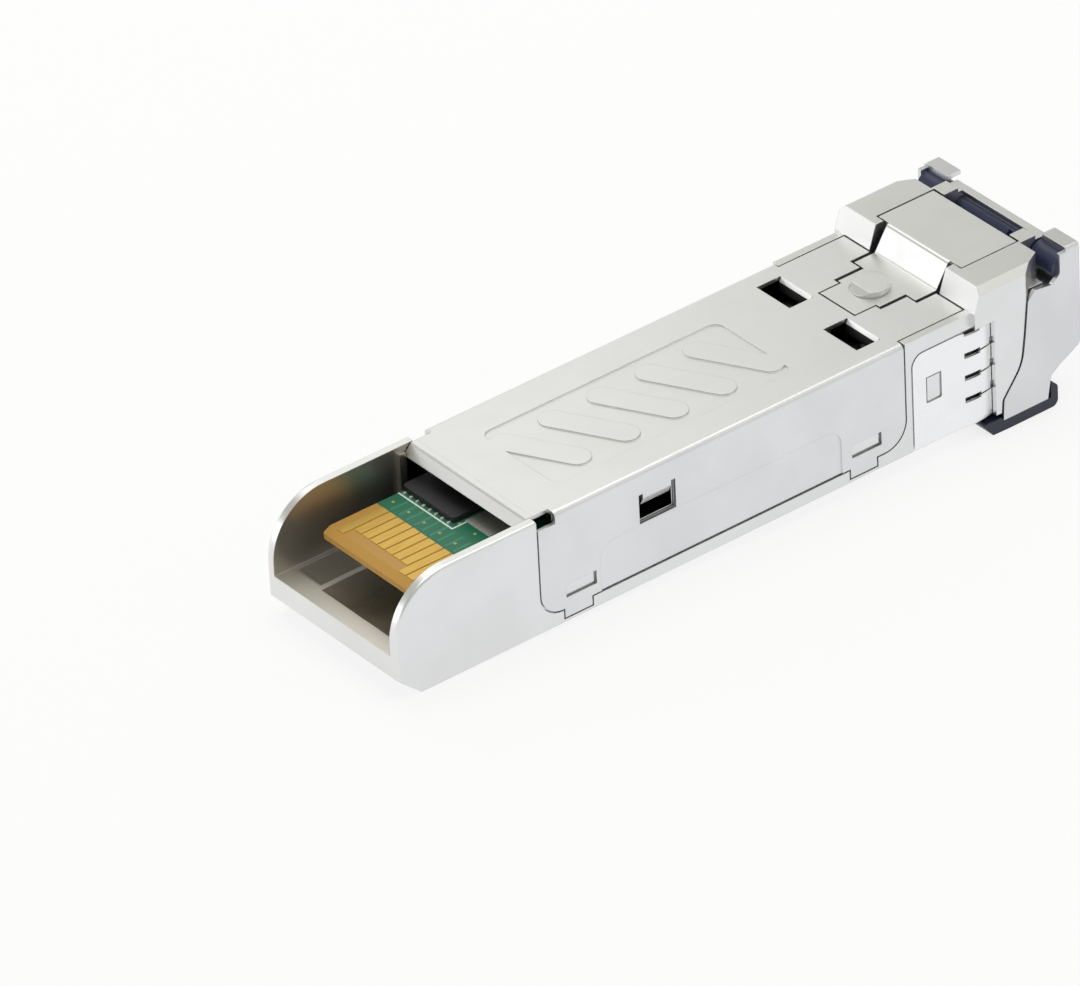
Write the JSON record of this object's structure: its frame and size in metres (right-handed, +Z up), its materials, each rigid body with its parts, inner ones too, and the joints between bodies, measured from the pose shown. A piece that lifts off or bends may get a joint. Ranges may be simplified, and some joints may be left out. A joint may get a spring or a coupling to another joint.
{
  "type": "sfp optical transceiver",
  "caption": "Pluggable SFP optical transceiver: die-cast body, folded sheet cover, spring collar, card-edge tongue, duplex LC port and a bail that works the latch.",
  "frame": {"origin": "middle of the bounding box's underside; the module lies latch side up, as in the picture, so this is the lowest point of the bail's grip", "axes": "+X from the card-edge end to the optical port end, +Y across the module, +Z up as it lies, which is towards the latch side (the in-use bottom face)"},
  "size_m": [0.0564, 0.0142, 0.0117],
  "materials": {
    "die_cast_housing": "satin nickel plating on a die casting",
    "cover_sheet": "nickel-plated sheet, faint rolling grain",
    "spring_collar": "bright spring sheet",
    "latch_sheet": "bright pressed sheet",
    "steel_pin": "polished pin",
    "spring_leaf": "spring strip",
    "bail_sheet": "nickel-plated sheet",
    "navy_plastic": "dark navy moulded plastic, slight sheen",
    "holder_sheet": "plain sheet",
    "turned_barrel": "turned metal",
    "zirconia": "ground white ceramic",
    "gold_can": "gold-plated can",
    "flex_film": "amber film",
    "board_laminate": "green solder mask with a bare tan tongue",
    "gold_pads": "gold-plated contacts",
    "tinned_pad": "dull tinned pad",
    "chip_resin": "black moulded resin",
    "thermal_rubber": "soft grey-blue pad",
    "capacitor_ceramic": "tan ceramic with tinned ends",
    "inductor_ferrite": "dark ferrite"
  },
  "bodies": {
    "housing": {"base_housing": "die_cast_housing", "sheet_cover": "cover_sheet", "emi_collar": "spring_collar", "rocker_pin": "steel_pin", "latch_spring": "spring_leaf", "lc_receptacle": "navy_plastic", "optics_holder": "holder_sheet", "tosa_barrel": "turned_barrel", "rosa_barrel": "turned_barrel", "tosa_sleeve": "zirconia", "rosa_sleeve": "zirconia", "tosa_can": "gold_can", "rosa_can": "gold_can", "tosa_flex": "flex_film", "rosa_flex": "flex_film", "main_pcb": "board_laminate", "edge_pads_top": "gold_pads", "edge_pads_bottom": "gold_pads", "ground_pad": "tinned_pad", "controller_ic": "chip_resin", "thermal_pad": "thermal_rubber", "laser_driver_ic": "chip_resin", "limiting_amp_ic": "chip_resin", "memory_ic": "chip_resin", "decoupling_capacitors": "capacitor_ceramic", "filter_inductors": "inductor_ferrite"},
    "bail": {"bail_frame": "bail_sheet", "bail_handle": "navy_plastic", "bail_cam_shaft": "navy_plastic"},
    "latch": {"latch_rocker": "latch_sheet"}
  },
  "joints": [
    {"name": "bail_hinge", "type": "hinge", "parent": "housing", "child": "bail", "pos_m": [0.02715, 0, 0.01025], "axis": [0, -1, 0], "range_deg": [0, 90]},
    {"name": "rocker_pivot", "type": "hinge", "parent": "housing", "child": "latch", "pos_m": [0.02155, 0, 0.01015], "axis": [0, -1, 0], "range_deg": [0, 6], "deforming": ["latch_spring"]}
  ],
  "couplings": [
    {"joint": "rocker_pivot", "follows": "bail_hinge", "ratio": 0.066667}
  ]
}
